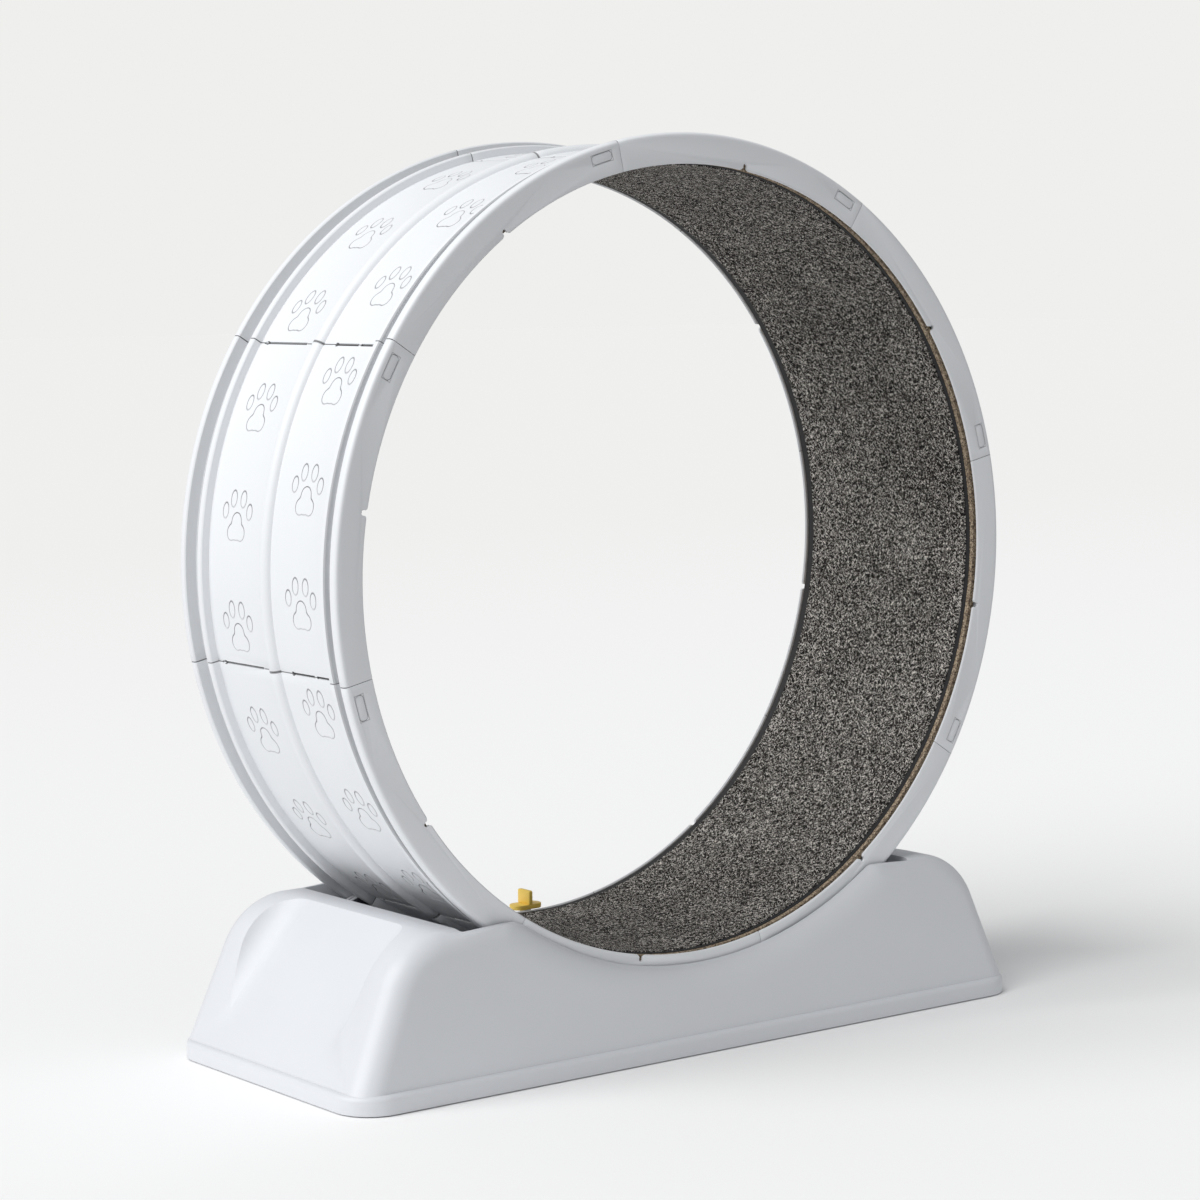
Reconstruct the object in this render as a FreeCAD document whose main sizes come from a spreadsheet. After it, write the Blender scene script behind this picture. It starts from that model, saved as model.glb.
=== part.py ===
import FreeCAD, Part
import math
import os
import Sketcher

# Cat exercise wheel: a rim of eight snapped segments with a felt running lining, which
# turns on four rollers in a low moulded base. Millimetres, +Z up, +Y along the wheel's
# axis, origin on the floor under the wheel's centre.

V = FreeCAD.Vector
TURN = FreeCAD.Rotation

SIZES = [
    # rim
    ("rim_rad", 500.0, "outside radius of the side flanges"),
    ("rim_wide", 329.2, "width over the side faces"),
    ("flange_high", 15.0, "height of the side flanges over the panels and the roller channels"),
    ("wall", 3.0, "thickness of the moulded rim"),
    ("shell_deep", 21.5, "depth of the side faces under the panels"),
    ("lip_wall", 3.5, "thickness of the side faces"),
    ("flange_wide", 13.0, "width of a side flange"),
    ("channel_wide", 16.6, "width of a roller channel"),
    ("ridge_wide", 11.5, "width of the ridge beside a channel"),
    ("ridge_high", 10.0, "height of the ridges over the panels"),
    ("spine_wide", 20.0, "width of the half-round spine between the panels"),
    ("spine_high", 7.0, "height of the spine over the panels"),
    ("flange_round", 5.5, "rounding of the flange's outer edge"),
    ("edge_bevel", 1.5, "bevel of the ridges and of the other edges"),
    ("draft_step", 0.6, "lean of the ridge and flange walls"),
    ("seam_gap", 0.8, "gap between two segments"),
    ("seam_turn", 12.4, "angle of the first seam above +X"),
    ("slit_wide", 2.4, "width of the slit along a seam in the panels"),
    ("slit_near", 25.0, "distance of the slits' inner ends from the middle"),
    ("slit_far", 115.0, "distance of the slits' outer ends from the middle"),
    ("slit_bridge", 5.0, "width of the bridge across a slit"),
    ("rib_step", 75.0, "spacing of the ribs across a segment"),
    ("notch_wide", 6.0, "width of the notch in a side face"),
    ("notch_deep", 8.5, "depth of the notch"),
    ("rib_wall", 2.5, "thickness of the ribs under the lining"),
    ("window_turn", 3.2, "angle from the seam to the latch window's centre"),
    ("window_out", 1.0, "how far the latch window's centre lies outside the panels"),
    ("window_long", 30.0, "length of the latch window"),
    ("window_high", 11.6, "height of the latch window"),
    ("latch_gap", 0.7, "gap round the latch in its window"),
    ("tongue_turn", 3.4, "angle that the panel tongues reach past the seam"),
    ("latch_turn", 5.4, "angle that the latch tongues reach past the seam"),
    ("slip", 0.4, "clearance of the tongues under the next segment"),
    # lining
    ("board_step", 5.0, "height of the side faces' inner edge over the backing board"),
    ("board_thick", 4.0, "thickness of the backing board"),
    ("board_wide", 315.0, "width of the backing board"),
    ("underlay_thick", 1.5, "thickness of the rubber underlay"),
    ("underlay_wide", 299.0, "width of the rubber underlay"),
    ("felt_thick", 1.6, "thickness of the felt"),
    ("felt_wide", 285.0, "width of the felt"),
    ("lay_gap", 0.3, "gap under each layer of the lining"),
    # base
    ("rim_clear", 78.6, "height of the rim over the floor"),
    ("end_thick", 160.0, "thickness of the base at each end of the well"),
    ("side_thick", 33.5, "thickness of the base at each side of the well"),
    ("base_low", 1.5, "gap between the shell and the floor"),
    ("plinth_high", 23.0, "height of the plinth band"),
    ("plinth_out", 8.0, "how far the plinth stands out"),
    ("plinth_corner", 48.0, "corner radius of the plinth"),
    ("plinth_round", 6.5, "rounding of the plinth's top edge"),
    ("hill_high", 187.0, "height of the two hills"),
    ("end_lean", 23.0, "lean of the end faces"),
    ("side_lean", 3.7, "lean of the long sides"),
    ("shoulder_round", 88.0, "rounding from an end face to the hill top"),
    ("brow_round", 40.0, "rounding from the hill top into the saddle"),
    ("edge_round", 29.0, "rounding along the base's long edges and corners"),
    ("saddle_gap", 0.2, "how far the saddle lies inside the panels' radius"),
    ("shell_wall", 3.5, "thickness of the base shell"),
    ("well_room", 12.25, "room between the brackets and the ends of the well"),
    ("rim_room", 2.9, "room beside the rim in the well"),
    ("well_corner", 5.0, "corner radius of the well"),
    ("grip_wide", 268.0, "width of the hand grip in an end face"),
    ("grip_low", 54.0, "height at which the hand grip starts"),
    ("grip_lean", 38.5, "lean of the hand grip's floor"),
    ("grip_round", 42.0, "rounding between the grip's sides and floor"),
    ("boss_wide", 14.0, "width of a screw boss"),
    ("boss_high", 34.0, "height of the screw bosses"),
    ("boss_y", 110.0, "distance of the end bosses from the centre line"),
    ("side_boss_x", 165.0, "distance of the side bosses from the middle"),
    ("rib_low", 30.0, "height at which the shell's inner ribs start"),
    # tray
    ("foot_high", 5.0, "height of the feet under the tray"),
    ("foot_rad", 16.0, "radius of a foot"),
    ("foot_inset", 51.0, "distance of the feet from the base's sides"),
    ("foot_mid", 120.0, "distance of the inner feet from the middle"),
    ("tray_thick", 4.0, "thickness of the tray"),
    ("tray_gap", 1.0, "gap between the tray and the plinth"),
    ("tray_rib_high", 8.0, "height of the tray's ribs"),
    # rollers
    ("tyre_rad", 29.4, "radius of a roller over its tyre"),
    ("roller_wide", 15.0, "width of a roller"),
    ("roller_turn", 32.0, "angle of the rollers from straight down"),
    ("roll_gap", 0.3, "gap between tyre and channel"),
    ("hub_rad", 28.2, "radius of the hub's side discs"),
    ("tyre_seat", 24.0, "radius that the tyre sits on"),
    ("disc_wall", 1.3, "thickness of the hub's side disc beside the tyre"),
    ("tread_groove", 1.6, "depth of the groove round the tread"),
    ("dish_deep", 2.0, "depth of the dish in a hub's side"),
    ("bush_rad", 7.0, "outside radius of a roller bush"),
    ("bush_flange", 1.1, "thickness of a bush's flange"),
    ("pin_rad", 4.0, "radius of an axle pin"),
    ("run_fit", 0.05, "radial clearance of the running fits"),
    ("cheek_wall", 6.0, "thickness of a bracket's cheek"),
    ("cheek_gap", 0.35, "gap between a bush's flange and the cheek"),
    ("cheek_rad", 12.0, "radius of the cheeks round the axle"),
    ("tower_half", 42.0, "half the bracket's length at its foot"),
    ("foot_half", 58.0, "half the length of the bracket's flange"),
    ("foot_thick", 6.0, "thickness of the bracket's flange"),
    ("foot_wide", 46.0, "width of the bracket's flange"),
    ("screw_rad", 1.9, "radius of a screw"),
    ("head_rad", 3.7, "radius of a screw's head"),
    ("head_high", 2.4, "height of a screw's head"),
    # keeper
    ("keeper_y", 174.6, "distance of the keeper from the centre line"),
    ("post_rad", 7.0, "radius of the keeper's post"),
    ("keeper_gap", 2.2, "gap between the keeper and the rim's inner edge"),
    ("keeper_long", 44.0, "length of the keeper's plate"),
    ("keeper_wide", 24.0, "width of the keeper's plate"),
    ("keeper_thick", 5.0, "thickness of the keeper's plate"),
    ("tab_thick", 5.4, "thickness of the keeper's finger tab"),
    ("tab_long", 22.0, "length of the finger tab"),
    ("tab_high", 18.0, "height of the finger tab"),
    ("stem_rad", 4.5, "radius of the keeper's stem"),
]


class Dim:
    """A size: its number, and the sheet expression that objects are bound with."""

    def __init__(self, value, text):
        self.v = float(value)
        self.e = text

    def __add__(self, other):
        other = dim(other)
        return Dim(self.v + other.v, "(%s + %s)" % (self.e, other.e))

    def __sub__(self, other):
        other = dim(other)
        return Dim(self.v - other.v, "(%s - %s)" % (self.e, other.e))

    def __mul__(self, other):
        other = dim(other)
        return Dim(self.v * other.v, "%s * %s" % (self.e, other.e))

    def __truediv__(self, other):
        other = dim(other)
        return Dim(self.v / other.v, "%s / (%s)" % (self.e, other.e))

    def __neg__(self):
        return Dim(-self.v, "(0 - %s)" % self.e)

    def __rsub__(self, other):
        return dim(other) - self

    __radd__ = __add__
    __rmul__ = __mul__


def dim(value):
    return value if isinstance(value, Dim) else Dim(value, "%.9g" % value if value >= 0 else "(%.9g)" % value)


def sin(angle):
    return Dim(math.sin(math.radians(angle.v)), "sin(%s)" % angle.e)


def cos(angle):
    return Dim(math.cos(math.radians(angle.v)), "cos(%s)" % angle.e)


def tan(angle):
    return Dim(math.tan(math.radians(angle.v)), "tan(%s)" % angle.e)


def root(value):
    return Dim(math.sqrt(value.v), "sqrt(%s)" % value.e)


doc = FreeCAD.newDocument("CatWheel")
sheet = doc.addObject("Spreadsheet::Sheet", "Sizes")
for row, (name, value, note) in enumerate(SIZES, 1):
    sheet.set("A%d" % row, note)
    sheet.set("B%d" % row, "%.9g" % value)
    sheet.setAlias("B%d" % row, name)
doc.recompute()
D = {name: Dim(sheet.get(name), "Sizes." + name) for name, value, note in SIZES}
D["skin_rad"] = D["rim_rad"] - D["flange_high"]
D["ridge_rad"] = D["skin_rad"] + D["ridge_high"]
D["lip_rad"] = D["skin_rad"] - D["shell_deep"]
D["window_rad"] = D["skin_rad"] + D["window_out"]
D["board_rad"] = D["lip_rad"] + D["board_step"]
D["saddle_rad"] = D["skin_rad"] - D["saddle_gap"]
D["axle_high"] = D["rim_rad"] + D["rim_clear"]
D["roller_x"] = (D["skin_rad"] + D["roll_gap"] + D["tyre_rad"]) * sin(D["roller_turn"])
D["well_long"] = (D["roller_x"] + D["foot_half"] + D["well_room"]) * 2
D["well_wide"] = D["rim_wide"] + D["rim_room"] * 2
D["base_long"] = D["well_long"] + D["end_thick"] * 2
D["base_wide"] = D["well_wide"] + D["side_thick"] * 2


# ---- small helpers -----------------------------------------------------------------

def bind(thing, **values):
    """Bind properties to sizes, such as Length=D["wall"]."""
    for name, value in values.items():
        value = dim(value)
        setattr(thing, name, value.v)
        thing.setExpression(name, value.e)


def place(thing, x=0, y=0, z=0, axis=None, turn=0):
    """Set a Placement, with its base bound to sizes."""
    x, y, z = dim(x), dim(y), dim(z)
    rotation = TURN(V(*axis), dim(turn).v) if axis else TURN()
    thing.Placement = FreeCAD.Placement(V(x.v, y.v, z.v), rotation)
    for name, value in (("x", x), ("y", y), ("z", z)):
        thing.setExpression("Placement.Base." + name, value.e)


def new_body(name):
    return doc.addObject("PartDesign::Body", name)


def origin_plane(body, role):
    return [f for f in body.Origin.OriginFeatures if f.Role == role][0]


def new_sketch(body, name, role, shift=(0, 0, 0), axis=(0, 0, 1), turn=0):
    """A sketch on one of its body's origin planes, moved or turned on it."""
    sketch = body.newObject("Sketcher::SketchObject", name)
    sketch.AttachmentSupport = [(origin_plane(body, role), "")]
    sketch.MapMode = "FlatFace"
    shift = [dim(s) for s in shift]
    turn = dim(turn)
    sketch.AttachmentOffset = FreeCAD.Placement(V(*[s.v for s in shift]), TURN(V(*axis), turn.v))
    for key, s in zip("xyz", shift):
        sketch.setExpression("AttachmentOffset.Base." + key, s.e)
    sketch.setExpression("AttachmentOffset.Rotation.Angle", turn.e)
    return sketch


def outline(sketch, items):
    """Draw a closed outline. An item is (x, y) for a line to that point, or
    (x, y, centre x, centre y, radius, side) for an arc to it, side +1 anticlockwise."""
    first = len(sketch.Geometry)
    items = [tuple(dim(value) if i != 5 else value for i, value in enumerate(item)) for item in items]
    ends = []
    geometry = []
    for k, item in enumerate(items):
        last = items[k - 1]
        a = V(last[0].v, last[1].v, 0)
        b = V(item[0].v, item[1].v, 0)
        if len(item) == 2:
            geometry.append(Part.LineSegment(a, b))
            ends.append((1, 2))
        else:
            c = V(item[2].v, item[3].v, 0)
            start, stop = (a, b) if item[5] > 0 else (b, a)
            angles = [math.atan2(p.y - c.y, p.x - c.x) for p in (start, stop)]
            if angles[1] < angles[0]:
                angles[1] += 2 * math.pi
            circle = Part.Circle(c, V(0, 0, 1), item[4].v)
            geometry.append(Part.ArcOfCircle(circle, angles[0], angles[1]))
            ends.append((1, 2) if item[5] > 0 else (2, 1))
    sketch.addGeometry(geometry, False)
    rules = []
    bound = []
    for k, item in enumerate(items):
        here = first + k
        after = first + (k + 1) % len(items)
        rules.append(Sketcher.Constraint("Coincident", here, ends[k][1], after, ends[(k + 1) % len(items)][0]))
        for kind, value, axis in (("DistanceX", item[0], -2), ("DistanceY", item[1], -1)):
            if abs(value.v) < 1e-9:
                rules.append(Sketcher.Constraint("PointOnObject", here, ends[k][1], axis))
            else:
                bound.append((len(rules), value.e))
                rules.append(Sketcher.Constraint(kind, -1, 1, here, ends[k][1], value.v))
        if len(item) > 2:
            # the centre's place across the chord settles the arc, also for a half circle
            last = items[k - 1]
            upright = abs(item[1].v - last[1].v) > abs(item[0].v - last[0].v)
            kind, value, axis = ("DistanceX", item[2], -2) if upright else ("DistanceY", item[3], -1)
            if abs(value.v) < 1e-9:
                rules.append(Sketcher.Constraint("PointOnObject", here, 3, axis))
            else:
                bound.append((len(rules), value.e))
                rules.append(Sketcher.Constraint(kind, -1, 1, here, 3, value.v))
    start = sketch.ConstraintCount
    sketch.addConstraint(rules)
    for index, text in bound:
        sketch.setExpression("Constraints[%d]" % (start + index), text)


def box_outline(sketch, x0, x1, y0, y1):
    outline(sketch, [(x0, y0), (x1, y0), (x1, y1), (x0, y1)])


def round_box(sketch, half_x, half_y, corner, x=0, y=0):
    """A rectangle about (x, y) with round corners."""
    half_x, half_y, corner, x, y = [dim(value) for value in (half_x, half_y, corner, x, y)]
    items = []
    for sx, sy in ((1, -1), (1, 1), (-1, 1), (-1, -1)):
        cx = x + sx * (half_x - corner)
        cy = y + sy * (half_y - corner)
        if sx * sy < 0:
            items.append((cx, cy + sy * corner))
            items.append((cx + sx * corner, cy, cx, cy, corner, 1))
        else:
            items.append((cx + sx * corner, cy))
            items.append((cx, cy + sy * corner, cx, cy, corner, 1))
    outline(sketch, items)


def dot(sketch, x, y, radius):
    """A circle with its centre and radius bound."""
    x, y, radius = dim(x), dim(y), dim(radius)
    index = sketch.addGeometry(Part.Circle(V(x.v, y.v, 0), V(0, 0, 1), radius.v), False)
    for kind, value, axis in (("DistanceX", x, -2), ("DistanceY", y, -1)):
        if abs(value.v) < 1e-9:
            sketch.addConstraint(Sketcher.Constraint("PointOnObject", index, 3, axis))
        else:
            at = sketch.addConstraint(Sketcher.Constraint(kind, -1, 1, index, 3, value.v))
            sketch.setExpression("Constraints[%d]" % at, value.e)
    at = sketch.addConstraint(Sketcher.Constraint("Radius", index, radius.v))
    sketch.setExpression("Constraints[%d]" % at, radius.e)


def revolve(body, name, sketch, angle, middle=False, cut=False, back=False):
    kind = "PartDesign::Groove" if cut else "PartDesign::Revolution"
    feature = body.newObject(kind, name)
    feature.Profile = sketch
    feature.ReferenceAxis = (sketch, ["V_Axis"])
    feature.Midplane = middle
    feature.Reversed = back
    bind(feature, Angle=angle)
    return feature


def pad(body, name, sketch, length, middle=False, back=False):
    feature = body.newObject("PartDesign::Pad", name)
    feature.Profile = sketch
    bind(feature, Length=length)
    feature.Midplane = middle
    feature.Reversed = back
    return feature


def pocket(body, name, sketch, length=None, middle=False, back=False):
    feature = body.newObject("PartDesign::Pocket", name)
    feature.Profile = sketch
    if length is None:
        feature.Type = "ThroughAll"
    else:
        bind(feature, Length=length)
    feature.Midplane = middle
    feature.Reversed = back
    return feature


def edges_where(feature, test):
    """Names of a feature's edges whose middle and ends pass a test."""
    names = []
    for k, edge in enumerate(feature.Shape.Edges, 1):
        low, high = edge.ParameterRange
        if test(edge, edge.valueAt((low + high) / 2)):
            names.append("Edge%d" % k)
    return names


def fillet(body, name, base, radius, test):
    feature = body.newObject("PartDesign::Fillet", name)
    feature.Base = (base, edges_where(base, test))
    feature.Refine = False
    bind(feature, Radius=radius)
    doc.recompute()
    return feature


placed = []


def node(name, shape, placement=None):
    """A copy of a finished piece under its own name and Placement."""
    feature = doc.addObject("Part::Feature", name)
    feature.Label = name
    placed.append(feature)
    feature.Shape = shape
    if placement is not None:
        feature.Placement = placement
    return feature


# ---- places that several pieces share --------------------------------------------------

half_rim = D["rim_wide"] / 2
flange_in = half_rim - D["flange_wide"]
ridge_out = flange_in - D["channel_wide"]
ridge_in = ridge_out - D["ridge_wide"]
channel_mid = (flange_in + ridge_out) / 2
skin_in = D["skin_rad"] - D["wall"]
board_back = D["board_rad"] + D["board_thick"]
rib_seat = board_back + D["lay_gap"]
half_turn = dim(22.5)
end_turn = half_turn - D["seam_gap"] / D["rim_rad"] / 2 * (180 / math.pi)

roller_dist = D["skin_rad"] + D["tyre_rad"] + D["roll_gap"]
roller_x = D["roller_x"]
roller_z = D["axle_high"] - roller_dist * cos(D["roller_turn"])
tray_low = D["foot_high"]
tray_top = D["foot_high"] + D["tray_thick"]


# ---- rim segment: a corrugated moulding, revolved, ribbed, notched and latched ----------

def segment_body():
    body = new_body("RimSegment")
    step = D["draft_step"]
    bevel = D["edge_bevel"]
    rib = D["rib_wall"]
    half = D["spine_wide"] / 2
    hollow = half - D["wall"]
    rise = D["spine_high"]
    arc_out = (half * half + rise * rise) / (rise * 2)
    arc_in = (hollow * hollow + rise * rise) / (rise * 2)
    face_in = half_rim - D["lip_wall"]
    flange_low = D["rim_rad"] - D["wall"]
    ridge_low = D["ridge_rad"] - D["wall"]
    ridge_walls = (ridge_out - D["wall"], ridge_in + D["wall"])

    def long_rib(top):
        return [(skin_in, top), (rib_seat, top), (rib_seat, top - rib), (skin_in, top - rib)]

    outside = [
        (D["skin_rad"], ridge_in), (D["ridge_rad"] - bevel, ridge_in + step),
        (D["ridge_rad"], ridge_in + step + bevel), (D["ridge_rad"], ridge_out - step - bevel),
        (D["ridge_rad"] - bevel, ridge_out - step), (D["skin_rad"], ridge_out),
        (D["skin_rad"], flange_in), (D["rim_rad"] - bevel, flange_in + step),
        (D["rim_rad"], flange_in + step + bevel), (D["rim_rad"], half_rim),
        (D["lip_rad"] + bevel, half_rim), (D["lip_rad"], half_rim - bevel), (D["lip_rad"], face_in + bevel),
    ]
    inside = [
        (D["lip_rad"] + bevel, face_in), (flange_low, face_in),
        (flange_low, flange_in + D["wall"]), (skin_in, flange_in + D["wall"]),
    ]
    inside += long_rib(flange_in)
    inside += [(skin_in, ridge_walls[0]), (ridge_low, ridge_walls[0])]
    inside += [(ridge_low, ridge_walls[1]), (skin_in, ridge_walls[1])]
    inside += long_rib(ridge_in - D["wall"])

    section = [(D["skin_rad"], half, D["skin_rad"] + rise - arc_out, 0, arc_out, 1)]
    section += outside + inside + [(skin_in, hollow)]
    section += [(skin_in, -hollow, skin_in + rise - arc_in, 0, arc_in, -1)]
    section += [(radius, -y) for radius, y in reversed(inside)]
    section += [(radius, -y) for radius, y in reversed(outside)]
    section += [(D["skin_rad"], -half)]
    sketch = new_sketch(body, "RimSection", "XY_Plane")
    outline(sketch, section)
    skin = revolve(body, "RimSkin", sketch, end_turn * 2, middle=True)
    doc.recompute()

    def ring_edges(radius, *places):
        def test(edge, middle):
            curve = edge.Curve
            return (isinstance(curve, Part.Circle) and abs(curve.Radius - radius.v) < 0.01
                    and any(abs(abs(middle.y) - y.v) < 0.01 for y in places))
        return test

    fillet(body, "FlangeOuter", skin, D["flange_round"], ring_edges(D["rim_rad"], half_rim))

    # ribs across the segment carry the lining together with the ribs that run along it
    sketch = new_sketch(body, "CrossRibSection", "XZ_Plane")
    for k in (-1, 0, 1):
        middle = D["rib_step"] * k * 2
        seat = root(rib_seat * rib_seat - middle * middle)
        shelf = root((skin_in + 1) * (skin_in + 1) - middle * middle)
        box_outline(sketch, seat, shelf, middle - rib / 2, middle + rib / 2)
    pad(body, "CrossRibs", sketch, (flange_in - rib / 2) * 2, middle=True)

    # tongues reach past the seam, under the next panels and inside the next side flanges
    root_turn = dim(2.2)
    tongues = (
        ("PanelTongue", skin_in - D["wall"] - D["slip"], skin_in - D["slip"],
         half + rib * 2 + 3, ridge_in - D["wall"] - rib - 3, (0, 1, 0), D["tongue_turn"]),
        ("LatchTongue", skin_in + 1, flange_low - D["slip"] * 2,
         flange_in + D["wall"] + D["slip"], face_in - D["slip"], (2, 2, 1), D["latch_turn"]),
    )
    for name, low, high, near, far, grow, reach in tongues:
        for label, (down, up, side), turn in ((name + "Root", grow, root_turn - 0.06),
                                              (name, (0, 0, 0), root_turn + reach)):
            sketch = new_sketch(body, label + "Section", "XY_Plane", axis=(0, 1, 0),
                                turn=root_turn - half_turn)
            box_outline(sketch, low - down, high + up, near - side, far + side)
            box_outline(sketch, low - down, high + up, -(far + side), -(near - side))
            revolve(body, label, sketch, turn, back=True)

    # a latch on each tongue fills the next segment's window in the side face
    latch_in = flange_in + D["wall"] + D["slip"]
    long_half = D["window_long"] / 2
    high_half = D["window_high"] / 2
    for side in (1, -1):
        label = "Near" if side > 0 else "Far"
        sketch = new_sketch(body, "LatchOutline" + label, "XZ_Plane", shift=(0, 0, latch_in * side),
                            turn=half_turn + D["window_turn"])
        round_box(sketch, high_half - D["latch_gap"], long_half - D["latch_gap"],
                  high_half - D["latch_gap"] - 1.2, x=D["window_rad"])
        pad(body, "Latch" + label, sketch, half_rim - 0.5 - latch_in, back=side < 0)
        sketch = new_sketch(body, "WindowOutline" + label, "XZ_Plane",
                            shift=(0, 0, (half_rim + 1) * side), turn=D["window_turn"] - half_turn)
        round_box(sketch, high_half, long_half, high_half - 1.2, x=D["window_rad"])
        pocket(body, "Window" + label, sketch, D["lip_wall"] + 2, back=side < 0)

    # the notch in the middle of both side faces, with a flared mouth
    sketch = new_sketch(body, "NotchOutline", "XZ_Plane")
    slot = D["notch_wide"] / 2
    bottom = D["lip_rad"] + D["notch_deep"]
    mouth = root(D["lip_rad"] * D["lip_rad"] - slot * slot * 4)
    outline(sketch, [
        (mouth - 6, -slot * 2), (mouth, -slot * 2), (mouth + slot, -slot), (bottom - slot, -slot),
        (bottom - slot, slot, bottom - slot, 0, slot, 1),
        (mouth + slot, slot), (mouth, slot * 2), (mouth - 6, slot * 2),
    ])
    pocket(body, "Notches", sketch, middle=True)

    # thin slits along both ends of the panels show the tongues
    for end, turn in (("Start", end_turn), ("Stop", -end_turn)):
        sketch = new_sketch(body, "Slit" + end + "Outline", "XY_Plane", axis=(0, 1, 0), turn=turn)
        depth = D["slit_wide"] - D["seam_gap"]
        middle = (D["slit_near"] + D["slit_far"]) / 2 + 13
        bridge = D["slit_bridge"] / 2
        for low, high in ((D["slit_near"], D["slit_far"]),
                          (-(D["slit_far"]), -(middle + bridge)), (-(middle - bridge), -(D["slit_near"] + 9))):
            box_outline(sketch, D["skin_rad"] - 1.6, D["skin_rad"] + 3, low, high)
        cut = revolve(body, "Slit" + end, sketch, depth / D["rim_rad"] * (90 / math.pi) + 0.05,
                      cut=True, back=end == "Start")
    return body


segment = segment_body()
doc.recompute()
segment_turn = D["seam_turn"] + half_turn
for k in range(8):
    node("rim_segment_%d" % (k + 1), segment.Shape,
         FreeCAD.Placement(V(0, 0, D["axle_high"].v), TURN(V(0, -1, 0), segment_turn.v + 45 * k)))


# ---- lining: board, rubber underlay and felt, each a full ring ---------------------------

def turned(name, items, angle=360, part=None):
    """A piece turned about +Y, from (radius, y) points."""
    body = new_body(part or name)
    sketch = new_sketch(body, (part or name) + "Section", "XY_Plane")
    outline(sketch, items)
    revolve(body, (part or name) + "Turned", sketch, angle)
    return body


def ring(name, low, high, half):
    body = turned(name, [(low, -half), (high, -half), (high, half), (low, half)])
    body.Label = name
    place(body, z=D["axle_high"])
    return body


underlay_low = D["board_rad"] - D["lay_gap"] - D["underlay_thick"]
felt_high = underlay_low - D["lay_gap"]
rings = [
    ring("mat_board", D["board_rad"], board_back, D["board_wide"] / 2),
    ring("mat_underlay", underlay_low, underlay_low + D["underlay_thick"], D["underlay_wide"] / 2),
    ring("mat_felt", felt_high - D["felt_thick"], felt_high, D["felt_wide"] / 2),
]


# ---- base shell: the same form twice, the smaller one cut out as the hollow -----------------

foot_z = D["plinth_high"] - 9
wall_x = D["base_long"] / 2 - D["plinth_out"]
wall_y = D["base_wide"] / 2 - D["plinth_out"]


def base_form(name, inset, low):
    """The base's solid form, every face moved in by an inset."""
    body = new_body(name)
    lean, side = D["end_lean"], D["side_lean"]
    top = D["hill_high"] - inset
    drop = D["plinth_high"] - foot_z
    end_x = wall_x - inset / cos(lean) + drop * tan(lean)
    top_x = end_x - (top - foot_z) * tan(lean)
    saddle = D["saddle_rad"] + inset
    below = D["axle_high"] - top
    brow_x = root(saddle * saddle - below * below)
    side_y = wall_y - inset / cos(side) + drop * tan(side)

    sketch = new_sketch(body, name + "Profile", "XZ_Plane")
    outline(sketch, [
        (-end_x, foot_z), (end_x, foot_z), (top_x, top), (brow_x, top),
        (-brow_x, top, 0, D["axle_high"], saddle, -1), (-top_x, top),
    ])
    pad(body, name + "Block", sketch, side_y * 2, middle=True)
    sketch = new_sketch(body, name + "DraftOutline", "YZ_Plane")
    high = top + 10
    slope = (high - foot_z) * tan(side)
    for sign in (1, -1):
        outline(sketch, [(side_y * sign, foot_z), ((side_y + 5) * sign, foot_z),
                         ((side_y + 5) * sign, high), ((side_y - slope) * sign, high)])
    drafted = pocket(body, name + "Draft", sketch, middle=True)
    doc.recompute()

    def across(x_at):
        def test(edge, middle):
            return (abs(middle.y) < 0.01 and abs(abs(middle.x) - x_at.v) < 0.05
                    and abs(middle.z - top.v) < 0.01 and edge.BoundBox.YLength > 100)
        return test

    rounded = fillet(body, name + "Shoulders", drafted, D["shoulder_round"] - inset, across(top_x))
    rounded = fillet(body, name + "Brows", rounded, D["brow_round"] - inset, across(brow_x))

    def along(edge, middle):
        reach = side_y.v - (middle.z - foot_z.v) * math.tan(math.radians(side.v))
        return abs(abs(middle.y) - reach) < 0.05 and middle.z > foot_z.v + 0.5
    fillet(body, name + "Edges", rounded, D["edge_round"] - inset, along)

    # the plinth band, with its rounded upper edge
    plinth = new_body(name + "PlinthBand")
    sketch = new_sketch(plinth, name + "PlinthOutline", "XY_Plane", shift=(0, 0, low))
    round_box(sketch, D["base_long"] / 2 - inset, D["base_wide"] / 2 - inset, D["plinth_corner"] - inset)
    plinth_top = D["plinth_high"] - inset
    band = pad(plinth, name + "Plinth", sketch, plinth_top - low)
    doc.recompute()
    if not inset.v:
        fillet(plinth, name + "PlinthRound", band, D["plinth_round"],
               lambda edge, middle: abs(edge.BoundBox.ZMin - plinth_top.v) < 0.01)
    joined = body.newObject("PartDesign::Boolean", name + "WithPlinth")
    joined.Type = 0
    joined.setObjects([plinth])

    # hand grips: a sloping floor with hollowed sides, cut down through each hill
    grip = D["grip_wide"] / 2 + inset
    hollow = D["grip_round"] + inset
    grip_x = wall_x - (D["grip_low"] - D["plinth_high"]) * tan(lean)
    for sign in (1, -1):
        deep_x = inset * cos(D["grip_lean"]) * (-sign)
        deep_z = inset * sin(D["grip_lean"]) * (-1)
        sketch = new_sketch(body, name + ("GripRight" if sign > 0 else "GripLeft"), "YZ_Plane",
                            shift=(0, D["grip_low"] + deep_z, grip_x * sign + deep_x),
                            axis=(-1, 0, 0), turn=dim(90) + D["grip_lean"] * sign)
        out = -sign
        outline(sketch, [
            (-grip, hollow * out), (-(grip - hollow), 0, -(grip - hollow), hollow * out, hollow, out),
            (grip - hollow, 0), (grip, hollow * out, grip - hollow, hollow * out, hollow, out),
            (grip, D["grip_round"] * 3 * out), (-grip, D["grip_round"] * 3 * out),
        ])
        pocket(body, sketch.Name + "Cut", sketch, D["base_long"], middle=True)
    return body


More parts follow.
